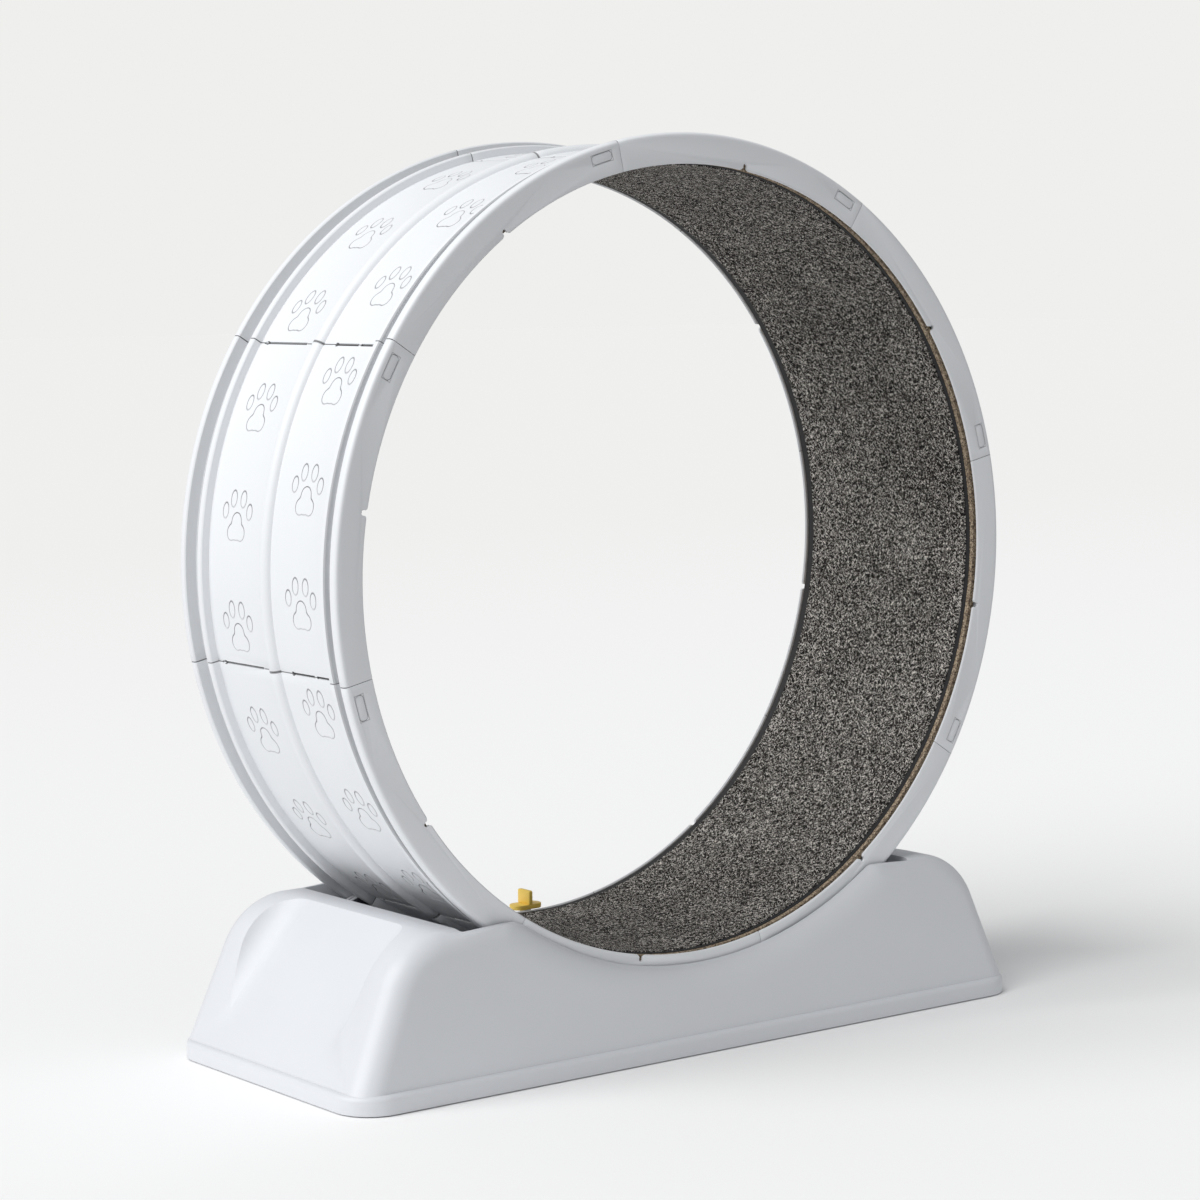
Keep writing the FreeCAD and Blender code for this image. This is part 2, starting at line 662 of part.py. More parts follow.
def shell_body():
    hollow = base_form("BaseHollow", D["shell_wall"], dim(-8))
    wall = D["shell_wall"]
    well_x, well_y = D["well_long"] / 2, D["well_wide"] / 2
    sketch = new_sketch(hollow, "WellColumnOutline", "XY_Plane", shift=(0, 0, -20))
    round_box(sketch, well_x + wall, well_y + wall, D["well_corner"] + wall)
    pocket(hollow, "WellColumn", sketch, dim(300), back=True)
    sketch = new_sketch(hollow, "InnerRibs", "XY_Plane", shift=(0, 0, D["rib_low"]))
    rib = D["rib_wall"] / 2
    for y in (-1, 1):
        box_outline(sketch, -D["base_long"], D["base_long"], D["rib_step"] * y - rib, D["rib_step"] * y + rib)
    pocket(hollow, "LongRibs", sketch, dim(300), back=True)
    sketch = new_sketch(hollow, "SideRibs", "XY_Plane", shift=(0, 0, D["rib_low"]))
    for x in (-3, -1, 1, 3):
        middle = D["rib_step"] * x
        box_outline(sketch, middle - rib, middle + rib, -D["base_wide"], D["base_wide"])
    pocket(hollow, "CrossRibsInside", sketch, dim(300), back=True)

    body = base_form("BaseForm", dim(0), D["base_low"])
    doc.recompute()
    boolean = body.newObject("PartDesign::Boolean", "Hollowed")
    boolean.Type = 1
    boolean.setObjects([hollow])
    sketch = new_sketch(body, "WellOutline", "XY_Plane", shift=(0, 0, -20))
    round_box(sketch, well_x, well_y, D["well_corner"])
    pocket(body, "Well", sketch, dim(300), back=True)
    sketch = new_sketch(body, "WellFootOutline", "XY_Plane", shift=(0, 0, -20))
    round_box(sketch, well_x + wall + 1, well_y + wall + 1, D["well_corner"] + wall)
    pocket(body, "WellFoot", sketch, tray_top + D["lay_gap"] + 20, back=True)

    # screw bosses along the well's walls, and the keeper's post in the rear wall
    sketch = new_sketch(body, "BossOutline", "XY_Plane", shift=(0, 0, tray_top + D["lay_gap"]))
    for x, y in boss_places():
        dot(sketch, x, y, D["boss_wide"] / 2)
    pad(body, "Bosses", sketch, D["boss_high"] - tray_top)
    sketch = new_sketch(body, "PostOutline", "XY_Plane", shift=(0, 0, post_top))
    dot(sketch, 0, D["keeper_y"], D["post_rad"])
    pad(body, "KeeperPost", sketch, post_long, back=True)
    sketch = new_sketch(body, "PilotOutline", "XY_Plane", shift=(0, 0, 0))
    for x, y in boss_places():
        dot(sketch, x, y, D["screw_rad"] + D["run_fit"])
    pocket(body, "Pilots", sketch, D["boss_high"] - 3, back=True)
    sketch = new_sketch(body, "WasherRoomOutline", "XY_Plane", shift=(0, 0, post_top - post_long))
    dot(sketch, 0, D["keeper_y"], D["post_rad"] + 1.5)
    pocket(body, "WasherRoom", sketch, dim(14))
    sketch = new_sketch(body, "StemHoleOutline", "XY_Plane", shift=(0, 0, post_top + 1))
    dot(sketch, 0, D["keeper_y"], D["stem_rad"] + D["run_fit"])
    pocket(body, "StemHole", sketch, post_long + 2)
    body.Label = "base_shell"
    return body


def boss_places():
    end = D["well_long"] / 2 + D["shell_wall"] + D["boss_wide"] / 2 - 0.6
    side = D["well_wide"] / 2 + D["shell_wall"] + D["boss_wide"] / 2 - 1
    places = [(end * sx, D["boss_y"] * sy) for sx in (-1, 1) for sy in (-1, 1)]
    return places + [(D["side_boss_x"] * sx, side * sy) for sx in (-1, 1) for sy in (-1, 1)]


post_top = D["axle_high"] - D["lip_rad"] + D["keeper_gap"] - D["lay_gap"]
post_long = dim(47)
base_shell = shell_body()


# ---- tray under the shell, with its ribs and screw holes -----------------------------------

def tray_body():
    body = new_body("Tray")
    body.Label = "base_tray"
    inset = D["shell_wall"] + D["tray_gap"]
    half_x = D["base_long"] / 2 - inset
    half_y = D["base_wide"] / 2 - inset
    corner = D["plinth_corner"] - inset
    sketch = new_sketch(body, "TrayOutline", "XY_Plane", shift=(0, 0, tray_low))
    round_box(sketch, half_x, half_y, corner)
    pad(body, "TrayPlate", sketch, D["tray_thick"])
    rib = D["rib_wall"]
    sketch = new_sketch(body, "BorderOutline", "XY_Plane", shift=(0, 0, tray_top))
    for inner in (8, 8 + rib):
        round_box(sketch, half_x - inner, half_y - inner, corner - inner)
    pad(body, "Border", sketch, D["tray_rib_high"])
    sketch = new_sketch(body, "RibOutline", "XY_Plane", shift=(0, 0, tray_top))
    rib_half = D["well_long"] / 2 - D["tray_gap"]
    for sign in (-1, 1):
        box_outline(sketch, -rib_half, rib_half, D["rib_step"] * sign - rib / 2, D["rib_step"] * sign + rib / 2)
    pad(body, "LongTrayRibs", sketch, D["tray_rib_high"])
    sketch = new_sketch(body, "TrayHoles", "XY_Plane", shift=(0, 0, tray_top))
    for x, y in boss_places() + bracket_holes():
        dot(sketch, x, y, D["screw_rad"] + 0.3)
    pocket(body, "ScrewHoles", sketch, D["tray_thick"] + 1)
    return body


corners = [("front_left", -1, -1), ("front_right", 1, -1), ("rear_left", -1, 1), ("rear_right", 1, 1)]
hole_x, hole_y = D["foot_half"] - 7, D["foot_wide"] / 2 - 6


def bracket_holes():
    return [(roller_x * sx + hole_x * hx, channel_mid * sy + hole_y * hy)
            for label, sx, sy in corners for hx in (-1, 1) for hy in (-1, 1)]


tray = tray_body()
foot = turned("Foot", [(0, 0), (D["foot_rad"] - 1.5, 0), (D["foot_rad"], 1.5),
                       (D["foot_rad"], D["foot_high"] - 0.2), (0, D["foot_high"] - 0.2)])


# ---- roller bracket, drawn about the roller's centre -----------------------------------------

def bracket_body():
    body = new_body("Bracket")
    low = tray_top + 0.2 - roller_z
    half = D["roller_wide"] / 2 + D["bush_flange"] + D["cheek_gap"] + 0.1
    width = half + D["cheek_wall"]
    sketch = new_sketch(body, "TowerOutline", "XZ_Plane")
    outline(sketch, [(-D["tower_half"], low), (D["tower_half"], low), (D["cheek_rad"], 0),
                     (-D["cheek_rad"], 0, 0, 0, D["cheek_rad"], 1)])
    pad(body, "Tower", sketch, width * 2, middle=True)
    sketch = new_sketch(body, "FlangeOutline", "XY_Plane", shift=(0, 0, low))
    box_outline(sketch, -D["foot_half"], D["foot_half"], -D["foot_wide"] / 2, D["foot_wide"] / 2)
    pad(body, "Flange", sketch, D["foot_thick"])
    floor = -(D["tyre_rad"] + 6)
    sketch = new_sketch(body, "RollerSlotOutline", "XZ_Plane")
    box_outline(sketch, -D["foot_half"], D["foot_half"], floor, D["cheek_rad"] + 5)
    pocket(body, "RollerSlot", sketch, half * 2, middle=True)
    slope = (D["tower_half"] - D["cheek_rad"]) / low
    wall = D["wall"] + 0.8
    roof = floor - 4
    sketch = new_sketch(body, "CoreOutline", "XZ_Plane")
    foot_x = D["tower_half"] - wall
    roof_x = D["cheek_rad"] + roof * slope - wall
    outline(sketch, [(-foot_x, low - 1), (foot_x, low - 1), (roof_x, roof), (-roof_x, roof)])
    pocket(body, "Core", sketch, (width - D["wall"]) * 2, middle=True)
    sketch = new_sketch(body, "PinHole", "XZ_Plane")
    dot(sketch, 0, 0, D["pin_rad"] + 0.02)
    pocket(body, "PinBore", sketch, middle=True)
    sketch = new_sketch(body, "BossHoles", "XY_Plane", shift=(0, 0, low - 1))
    for hx in (-1, 1):
        for hy in (-1, 1):
            dot(sketch, hole_x * hx, hole_y * hy, D["screw_rad"] + D["run_fit"])
    pocket(body, "BossPilots", sketch, D["foot_thick"], back=True)
    return body, half, width


bracket, cheek_in, cheek_out = bracket_body()


# ---- roller: hub, tyre and bushes on an axle pin -----------------------------------------------

half_roller = D["roller_wide"] / 2
tyre_half = half_roller - D["disc_wall"]
bore = D["bush_rad"] + 0.03
dish = half_roller - D["dish_deep"]
hub = turned("Hub", [
    (bore, -half_roller), (bore + 4, -half_roller), (bore + 5, -dish), (D["tyre_seat"] - 3, -dish),
    (D["tyre_seat"] - 1, -half_roller), (D["hub_rad"], -half_roller), (D["hub_rad"], -tyre_half), (D["tyre_seat"], -tyre_half), (D["tyre_seat"], tyre_half),
    (D["hub_rad"], tyre_half), (D["hub_rad"], half_roller), (D["tyre_seat"] - 1, half_roller), (D["tyre_seat"] - 3, dish), (bore + 5, dish), (bore + 4, half_roller),
    (bore, half_roller),
])
seat = D["tyre_seat"] + 0.05
tread = tyre_half - 0.05
groove = D["tyre_rad"] - D["tread_groove"]
tyre = turned("Tyre", [
    (seat, -tread), (D["tyre_rad"] - 1, -tread), (D["tyre_rad"], -(tread - 1)), (D["tyre_rad"], -1.8),
    (groove, -1.2), (groove, 1.2), (D["tyre_rad"], 1.8), (D["tyre_rad"], tread - 1),
    (D["tyre_rad"] - 1, tread), (seat, tread),
])
bush_in = D["pin_rad"] + D["run_fit"]
bush = turned("Bush", [
    (bush_in, 1), (D["bush_rad"], 1), (D["bush_rad"], half_roller + 0.05),
    (D["bush_rad"] + 2.5, half_roller + 0.05), (D["bush_rad"] + 2.5, half_roller + 0.05 + D["bush_flange"]),
    (bush_in, half_roller + 0.05 + D["bush_flange"]),
])
pin_out = cheek_out + 0.15
clip_in = cheek_out + 0.2
pin = turned("Pin", [
    (0, -(clip_in + 2.4)), (D["pin_rad"] - 0.6, -(clip_in + 2.4)), (D["pin_rad"], -(clip_in + 1.8)),
    (D["pin_rad"], -(clip_in + 0.95)), (D["pin_rad"] - 0.8, -(clip_in + 0.95)),
    (D["pin_rad"] - 0.8, -(clip_in - 0.05)), (D["pin_rad"], -(clip_in - 0.05)),
    (D["pin_rad"], pin_out), (D["pin_rad"] + 2.5, pin_out), (D["pin_rad"] + 2.5, pin_out + 2),
    (D["pin_rad"] + 2, pin_out + 2.5), (0, pin_out + 2.5),
])
clip_low = D["pin_rad"] - 0.75
clip = turned("Clip", [(clip_low, -(clip_in + 0.9)), (clip_low + 3.2, -(clip_in + 0.9)),
                       (clip_low + 3.2, -clip_in), (clip_low, -clip_in)], angle=300)


# ---- screws and the keeper ---------------------------------------------------------------------

def screw_body(name, long):
    """A pan-head screw pointing up, the underside of its head at the origin."""
    body = new_body(name)
    sketch = new_sketch(body, name + "Section", "XZ_Plane")
    outline(sketch, [(0, -D["head_high"]), (D["head_rad"] - 1, -D["head_high"]), (D["head_rad"], -1),
                     (D["head_rad"], 0), (D["screw_rad"], 0), (D["screw_rad"], long - 2),
                     (0, long)])
    revolve(body, name + "Turned", sketch, 360)
    sketch = new_sketch(body, name + "SlotOutline", "XY_Plane", shift=(0, 0, -D["head_high"] - 1))
    box_outline(sketch, -D["head_rad"] * 2, D["head_rad"] * 2, -0.5, 0.5)
    pocket(body, name + "Slot", sketch, dim(2), back=True)
    return body


tray_screw = screw_body("TrayScrew", D["boss_high"] - 8)
bracket_screw = screw_body("BracketScrew", D["tray_thick"] + D["foot_thick"] - 0.8)
stem_screw = screw_body("StemScrew", dim(14))


def keeper_body():
    body = new_body("Keeper")
    body.Label = "turn_button"
    half, wide = D["keeper_long"] / 2, D["keeper_wide"] / 2
    sketch = new_sketch(body, "PlateOutline", "XY_Plane")
    straight = half - wide
    outline(sketch, [(straight, -wide), (straight, wide, straight, 0, wide, 1), (-straight, wide),
                     (-straight, -wide, -straight, 0, wide, 1)])
    plate = pad(body, "Plate", sketch, D["keeper_thick"])
    doc.recompute()
    top = D["keeper_thick"].v
    fillet(body, "PlateTop", plate, dim(1.8), lambda edge, middle: abs(middle.z - top) < 0.01)
    sketch = new_sketch(body, "TabOutline", "YZ_Plane")
    tab, high = D["tab_long"] / 2, D["keeper_thick"] + D["tab_high"]
    round_tab = dim(8)
    outline(sketch, [(-tab, D["keeper_thick"] - 2), (tab, D["keeper_thick"] - 2), (tab - 1, high - round_tab),
                     (tab - 1 - round_tab, high), (-(tab - 1 - round_tab), high), (-(tab - 1), high - round_tab)])
    pad(body, "FingerTab", sketch, D["tab_thick"], middle=True)
    doc.recompute()
    sketch = new_sketch(body, "StemOutline", "XY_Plane")
    dot(sketch, 0, 0, D["stem_rad"])
    pad(body, "Stem", sketch, post_long + 0.5, back=True)
    sketch = new_sketch(body, "StemPilot", "XY_Plane", shift=(0, 0, -(post_long + 1.5)))
    dot(sketch, 0, 0, D["screw_rad"] + D["run_fit"])
    pocket(body, "PilotHole", sketch, dim(16), back=True)
    place(body, y=D["keeper_y"], z=post_top + D["lay_gap"])
    return body


keeper = keeper_body()
doc.recompute()


# ---- places of the pieces that come more than once -----------------------------------------------

def at(shape, x, y, z, flip=False):
    copy = shape.copy()
    rotation = TURN(V(0, 0, 1), 180) if flip else TURN()
    copy.Placement = FreeCAD.Placement(V(dim(x).v, dim(y).v, dim(z).v), rotation).multiply(copy.Placement)
    return copy


def group(name, shapes):
    return node(name, Part.makeCompound(shapes))


pins, clips = [], []
for label, sx, sy in corners:
    spot = (roller_x * sx, channel_mid * sy, roller_z)
    there = FreeCAD.Placement(V(*[s.v for s in spot]), TURN())
    node("roller_bracket_" + label, bracket.Shape, there)
    node("roller_hub_" + label, hub.Shape, there)
    node("roller_tyre_" + label, tyre.Shape, there)
    pair = [bush.Shape.copy(), bush.Shape.copy()]
    pair[1].Placement = FreeCAD.Placement(V(), TURN(V(0, 0, 1), 180))
    node("roller_bushes_" + label, Part.makeCompound(pair), there)
    pins.append(at(pin.Shape, *spot, flip=sy < 0))
    clips.append(at(clip.Shape, *spot, flip=sy < 0))
group("axle_pins", pins)
group("axle_clips", clips)
group("bracket_screws", [at(bracket_screw.Shape, x, y, tray_low - 0.1) for x, y in bracket_holes()])
group("tray_screws", [at(tray_screw.Shape, x, y, tray_low - 0.1) for x, y in boss_places()])

foot_shape = foot.Shape.copy()
foot_shape.Placement = FreeCAD.Placement(V(), TURN(V(1, 0, 0), 90))
foot_x, foot_y = D["base_long"] / 2 - D["foot_inset"], D["base_wide"] / 2 - D["foot_inset"]
feet = [(x * sx, foot_y * sy) for x in (D["foot_mid"], foot_x) for sx in (-1, 1) for sy in (-1, 1)]
group("rubber_feet", [at(foot_shape, x, y, 0) for x, y in feet])

stem_low = post_top + D["lay_gap"] - post_long - 0.5
washer = turned("Washer", [(D["screw_rad"] + 0.15, 0), (D["post_rad"], 0), (D["post_rad"], 1.2),
                           (D["screw_rad"] + 0.15, 1.2)])
doc.recompute()
washer_shape = washer.Shape.copy()
washer_shape.Placement = FreeCAD.Placement(V(), TURN(V(1, 0, 0), 90))
node("button_washer", at(washer_shape, 0, D["keeper_y"], stem_low - 1.3))
node("button_screw", at(stem_screw.Shape, 0, D["keeper_y"], stem_low - 1.4))
doc.recompute()

for thing in doc.Objects:
    if "Invalid" in thing.State or "Error" in thing.State:
        raise RuntimeError("%s is not well built: %s" % (thing.Name, thing.State))

os.makedirs("parts", exist_ok=True)
pieces = [base_shell, tray, keeper] + rings
pieces += placed
for piece in pieces:
    shape = piece.Shape
    if shape.isNull() or not shape.isValid() or not shape.Solids:
        raise RuntimeError("%s has no sound solid" % piece.Label)
    shape.exportStep("parts/%s.step" % piece.Label)
print("%d pieces written" % len(pieces))
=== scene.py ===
import math

import bmesh
import bpy
from mathutils import Matrix, Vector


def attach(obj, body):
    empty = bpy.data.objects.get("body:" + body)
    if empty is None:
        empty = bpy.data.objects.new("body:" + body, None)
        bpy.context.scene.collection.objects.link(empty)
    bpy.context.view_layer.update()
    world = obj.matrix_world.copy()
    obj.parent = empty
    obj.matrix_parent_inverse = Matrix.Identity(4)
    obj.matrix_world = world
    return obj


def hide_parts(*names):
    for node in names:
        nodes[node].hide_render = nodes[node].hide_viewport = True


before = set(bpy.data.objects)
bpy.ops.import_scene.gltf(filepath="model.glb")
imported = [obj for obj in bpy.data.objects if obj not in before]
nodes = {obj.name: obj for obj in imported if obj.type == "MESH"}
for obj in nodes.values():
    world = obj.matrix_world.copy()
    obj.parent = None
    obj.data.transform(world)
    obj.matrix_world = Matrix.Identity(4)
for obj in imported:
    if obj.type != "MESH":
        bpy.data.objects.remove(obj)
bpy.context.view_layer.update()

scene = bpy.context.scene

# The photograph's viewpoint: a long lens four metres off on the wheel's left front, 0.92 m
# above the floor, looking slightly down and turned by half a degree.
yaw, pitch, roll = math.radians(37.774), math.radians(5.805), math.radians(-0.4697)
sight = Vector((math.sin(yaw) * math.cos(pitch), math.cos(yaw) * math.cos(pitch), -math.sin(pitch)))
level = Vector((math.cos(yaw), -math.sin(yaw), 0.0))
upward = level.cross(sight)
across = level * math.cos(roll) + upward * math.sin(roll)
upward = upward * math.cos(roll) - level * math.sin(roll)
lens = bpy.data.cameras.new("lens")
focal_pixels, picture_pixels = 3231.46, 1200
lens.sensor_width = 36.0
lens.lens = focal_pixels / picture_pixels * lens.sensor_width
lens.clip_start, lens.clip_end = 0.1, 90.0
camera = bpy.data.objects.new("camera", lens)
aim, away = Vector((-0.01135, 0.0, 0.52265)), 3.91685
eye = aim - sight * away
camera.matrix_world = Matrix.Translation(eye) @ Matrix((across, upward, -sight)).transposed().to_4x4()
scene.collection.objects.link(camera)
scene.camera = camera


class Socket:
    """A shader value that Python's operators work on: each one adds a Math node."""

    def __init__(self, tree, out):
        self.tree, self.out = tree, out

    def math(self, operation, *others):
        node = self.tree.nodes.new("ShaderNodeMath")
        node.operation = operation
        for inlet, value in zip(node.inputs, (self, *others)):
            if isinstance(value, Socket):
                self.tree.links.new(value.out, inlet)
            else:
                inlet.default_value = value
        return Socket(self.tree, node.outputs[0])

    def __add__(self, other):
        return self.math("ADD", other)

    def __sub__(self, other):
        return self.math("SUBTRACT", other)

    def __mul__(self, other):
        return self.math("MULTIPLY", other)

    def __truediv__(self, other):
        return self.math("DIVIDE", other)

    def __pow__(self, other):
        return self.math("POWER", other)

    def __rsub__(self, other):
        return self * -1.0 + other

    __radd__ = __add__
    __rmul__ = __mul__

    def ease(self, low, high):
        """0 at low, 1 at high, smooth between them."""
        node = self.tree.nodes.new("ShaderNodeMapRange")
        node.interpolation_type = "SMOOTHSTEP"
        self.tree.links.new(self.out, node.inputs["Value"])
        node.inputs["From Min"].default_value = low
        node.inputs["From Max"].default_value = high
        return Socket(self.tree, node.outputs[0])


class Finish:
    """A material being made: its Principled shader and one way to add any node."""

    def __init__(self, name, **settings):
        self.material = bpy.data.materials.new(name)
        self.material.use_nodes = True
        self.tree = self.material.node_tree
        self.shader = self.tree.nodes["Principled BSDF"]
        for inlet, value in settings.items():
            self.shader.inputs[inlet.replace("_", " ")].default_value = value

    def node(self, kind, settings=None, **inputs):
        node = self.tree.nodes.new("ShaderNode" + kind)
        for name, value in (settings or {}).items():
            if name == "stops":
                stops = node.color_ramp.elements
                while len(stops) < len(value):
                    stops.new(0.5)
                for stop, (place, colour) in zip(stops, value):
                    stop.position, stop.color = place, colour
            else:
                setattr(node, name, value)
        for name, value in inputs.items():
            inlet = node.inputs[int(name[1:])] if name[0] == "_" else node.inputs[name.replace("_", " ")]
            if isinstance(value, Socket):
                self.tree.links.new(value.out, inlet)
            else:
                inlet.default_value = value
        return node

    def get(self, kind, settings=None, out=0, **inputs):
        return Socket(self.tree, self.node(kind, settings, **inputs).outputs[out])

    def feed(self, inlet, value):
        self.tree.links.new(value.out, self.shader.inputs[inlet])

    def place(self):
        """The point on the object, in metres, as it stands at rest."""
        return self.get("TexCoord", out=3)

    def axes(self):
        """That point's three coordinates."""
        split = self.node("SeparateXYZ", Vector=self.place())
        return [Socket(self.tree, split.outputs[axis]) for axis in range(3)]

    def noise(self, scale, detail=2.0, rough=0.5, vector=None):
        spot = vector or self.place()
        return self.get("TexNoise", Vector=spot, Scale=scale, Detail=detail, Roughness=rough)

    def mix(self, amount, low, high):
        return self.get("Mix", {"data_type": "RGBA"}, out=2, _0=amount, _6=low, _7=high)

    def bump(self, height, depth, strength=1.0):
        self.feed("Normal", self.get("Bump", Height=height, Strength=strength, Distance=depth))


def rgb(red, green, blue):
    """A shader colour from a colour as it is seen, 0 to 255."""
    seen = [value / 255 for value in (red, green, blue)]
    return tuple(c / 12.92 if c < 0.04045 else ((c + 0.055) / 1.055) ** 2.4 for c in seen) + (1.0,)


# The studio: a white floor without an edge, an even sky, and one broad soft sheet of daylight
# from the upper left, so that the wheel's fronts stand a step darker than its left side.
window = bpy.data.lights.new("window_sheet", "SUN")
window.energy, window.angle = 2.65, math.radians(55)
heading, height = math.radians(-88), math.radians(42)
toward = Vector((math.sin(heading), math.cos(heading), 0.0)) * math.cos(height)
toward.z = math.sin(height)
window_sheet = bpy.data.objects.new("window_sheet", window)
window_sheet.rotation_euler = toward.to_track_quat("Z", "Y").to_euler()
scene.collection.objects.link(window_sheet)
world = bpy.data.worlds.new("studio")
scene.world = world
world.use_nodes = True
sky = world.node_tree
sky_light = sky.nodes["Background"]
sky_light.inputs["Color"].default_value = (0.98, 0.99, 1.0, 1)
sky_light.inputs["Strength"].default_value = 0.45
sky_seen = sky.nodes.new("ShaderNodeBackground")
sky_seen.inputs["Color"].default_value = rgb(239, 239, 237)
rays = sky.nodes.new("ShaderNodeLightPath")
pick = sky.nodes.new("ShaderNodeMixShader")
sky.links.new(rays.outputs["Is Camera Ray"], pick.inputs[0])
sky.links.new(sky_light.outputs[0], pick.inputs[1])
sky.links.new(sky_seen.outputs[0], pick.inputs[2])
sky.links.new(pick.outputs[0], sky.nodes["World Output"].inputs["Surface"])
scene.view_settings.view_transform = "Standard"

floor_mesh = bpy.data.meshes.new("floor")
floor_half = 40
floor_corners = [(floor_half * sx, floor_half * sy, 0) for sx, sy in ((-1, -1), (1, -1), (1, 1), (-1, 1))]
floor_mesh.from_pydata(floor_corners, [], [(0, 1, 2, 3)])
floor = bpy.data.objects.new("floor", floor_mesh)
scene.collection.objects.link(floor)
floor_paint = Finish("floor_paint", Roughness=1.0)
floor_paint.shader.inputs["Specular IOR Level"].default_value = 0.0
# the camera sees the floor fade into the sky; other rays find it bright only near the wheel
depth = floor_paint.get("SeparateXYZ", out=1, Vector=floor_paint.place()).ease(0.5, 7.0)
shown = floor_paint.mix(depth, (0.895, 0.895, 0.893, 1), (0.862, 0.862, 0.846, 1))
seen = floor_paint.get("LightPath", out=0)
reach = floor_paint.get("VectorMath", {"operation": "LENGTH"}, out=1, _0=floor_paint.place())
bounce = floor_paint.mix(reach.ease(0.7, 1.7), (0.98, 0.98, 0.98, 1), (0.5, 0.5, 0.5, 1))
floor_paint.feed("Base Color", floor_paint.mix(seen, bounce, shown))
floor_mesh.materials.append(floor_paint.material)


# The rim: eight moulded segments of pale cool grey plastic, snapped end to end. One is cleaned
# and its edges are broken, and a node tree sets it round the axle eight times.
def moulded(name, *cad, width=0.0006, segments=2, merge=0.00002):
    """A copy of CAD nodes with one skin, broken edges and smooth curves."""
    shape = bmesh.new()
    for node in cad:
        shape.from_mesh(nodes[node].data)
    bmesh.ops.remove_doubles(shape, verts=shape.verts, dist=merge)
    bmesh.ops.dissolve_limit(shape, angle_limit=math.radians(0.6), verts=shape.verts, edges=shape.edges)
    data = bpy.data.meshes.new(name)
    shape.to_mesh(data)
    shape.free()
    data.materials.clear()
    piece = bpy.data.objects.new(name, data)
    scene.collection.objects.link(piece)
    break_edges(piece, width, segments)
    return piece


def break_edges(piece, width, segments=2, bent=32, sharp=34):
    """Bevel the edges bent by more than so many degrees, and shade the rest as smooth curves."""
    if width:
        soften = piece.modifiers.new("broken_edges", "BEVEL")
        soften.width, soften.segments, soften.limit_method = width, segments, "ANGLE"
        soften.angle_limit = math.radians(bent)
        settle(piece)
    piece.data.shade_smooth()
    piece.data.set_sharp_from_angle(angle=math.radians(sharp))


def settle(piece):
    """Turn a piece's modifiers into plain mesh."""
    bpy.context.view_layer.update()
    made = bpy.data.meshes.new_from_object(piece.evaluated_get(bpy.context.evaluated_depsgraph_get()))
    piece.modifiers.clear()
    piece.data = made
    return piece


def finish_piece(piece, material, body, slot, *cad):
    """Paint a piece, hang it on the body it moves with and hide the CAD nodes it stands for."""
    piece.data.materials.clear()
    piece.data.materials.append(material)
    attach(piece, body)
    if cad:
        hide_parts(*cad)


def satin(name, colour, rough=0.44):
    """Moulded plastic: a fine spark-eroded grain, slow cloudiness and faint handling marks."""
    paint = Finish(name)
    cloud = paint.noise(6.0, 3.0)
    tone = paint.mix(cloud, tuple(c * 0.965 for c in colour[:3]) + (1,),
                     tuple(min(1.0, c * 1.02) for c in colour[:3]) + (1,))
    grit = paint.noise(1500.0, 1.0)
    marks = paint.noise(55.0, 4.0, 0.7)
    paint.feed("Roughness", grit * 0.08 + marks * 0.10 + (rough - 0.09))
    return paint, tone, grit


segments = 8
axle = Vector((0.0, 0.0, 0.5786))
paint, tone, grit = satin("rim_plastic", rgb(230, 232, 235))
x, y, z = paint.axes()
z = z - axle.z
radius = (x * x + z * z) ** 0.5
degrees = z.math("ARCTAN2", x) * (180 / math.pi)
on_panel = radius.ease(0.4836, 0.4841)
outside = radius.ease(0.4835, 0.4845)
# paw prints sunk in the panels, one column to each side of the spine, every fifteen degrees;
# a print's own millimetres run ahead round the rim and aside from its middle
paw_pitch, first_near, far_ahead = 15.0, 2.75, 4.3
near_column, far_column, mm_per_degree = -71.0, 66.5, 8.465
far = y.math("GREATER_THAN", 0.0)
ahead = (degrees - first_near - far * far_ahead).math("WRAP", paw_pitch / 2, -paw_pitch / 2) * -mm_per_degree
aside = (y * 1000.0 - near_column - far * (far_column - near_column)).math("ABSOLUTE")


def oval(off_side, off_front, wide, long):
    """Millimetres outside a pair of mirrored ovals, less than 0 inside them."""
    return ((((aside - off_side) / wide) ** 2 + ((ahead - off_front) / long) ** 2) ** 0.5 - 1.0) * wide


pad = oval(0.0, -6.0, 10.0, 10.0).math("SMOOTH_MIN", oval(9.5, -19.0, 8.6, 9.2), 8.0)
pad = pad.math("SMOOTH_MIN", oval(0.0, -17.0, 11.0, 10.5), 4.0)
paw = oval(10.2, 19.6, 6.0, 9.6).math("MINIMUM", oval(25.2, 5.6, 5.8, 9.0)).math("MINIMUM", pad)
sunk = (1.0 - paw.ease(-0.75, 0.75)) * on_panel
# a thin line of painted shade round the edge of each print
paw_outline_shade = (1.0 - paw.math("ABSOLUTE").ease(0.2, 1.3)) * on_panel


def from_line(first):
    """Metres round the rim from the nearest line at so many degrees, one to a segment."""
    half = 180.0 / segments
    return ((degrees - first).math("WRAP", half, -half) * radius * (math.pi / 180)).math("ABSOLUTE")


def span(value, middle, half):
    """1 within half of the middle, 0 outside."""
    return 1.0 - (value - middle).math("ABSOLUTE").ease(half - 0.0003, half + 0.0003)


# the seams between segments gather shade, least on the side faces and most over the spine
seam = from_line(12.4)
reach = y.math("ABSOLUTE")
face = reach.ease(0.1630, 0.1640)
gap = (1.0 - seam.ease(0.0005, 0.0010)) * (0.5 - face * 0.5)
over_spine = (1.0 - seam.ease(0.0012, 0.0020)) * (1.0 - reach.ease(0.0105, 0.0125)) * outside
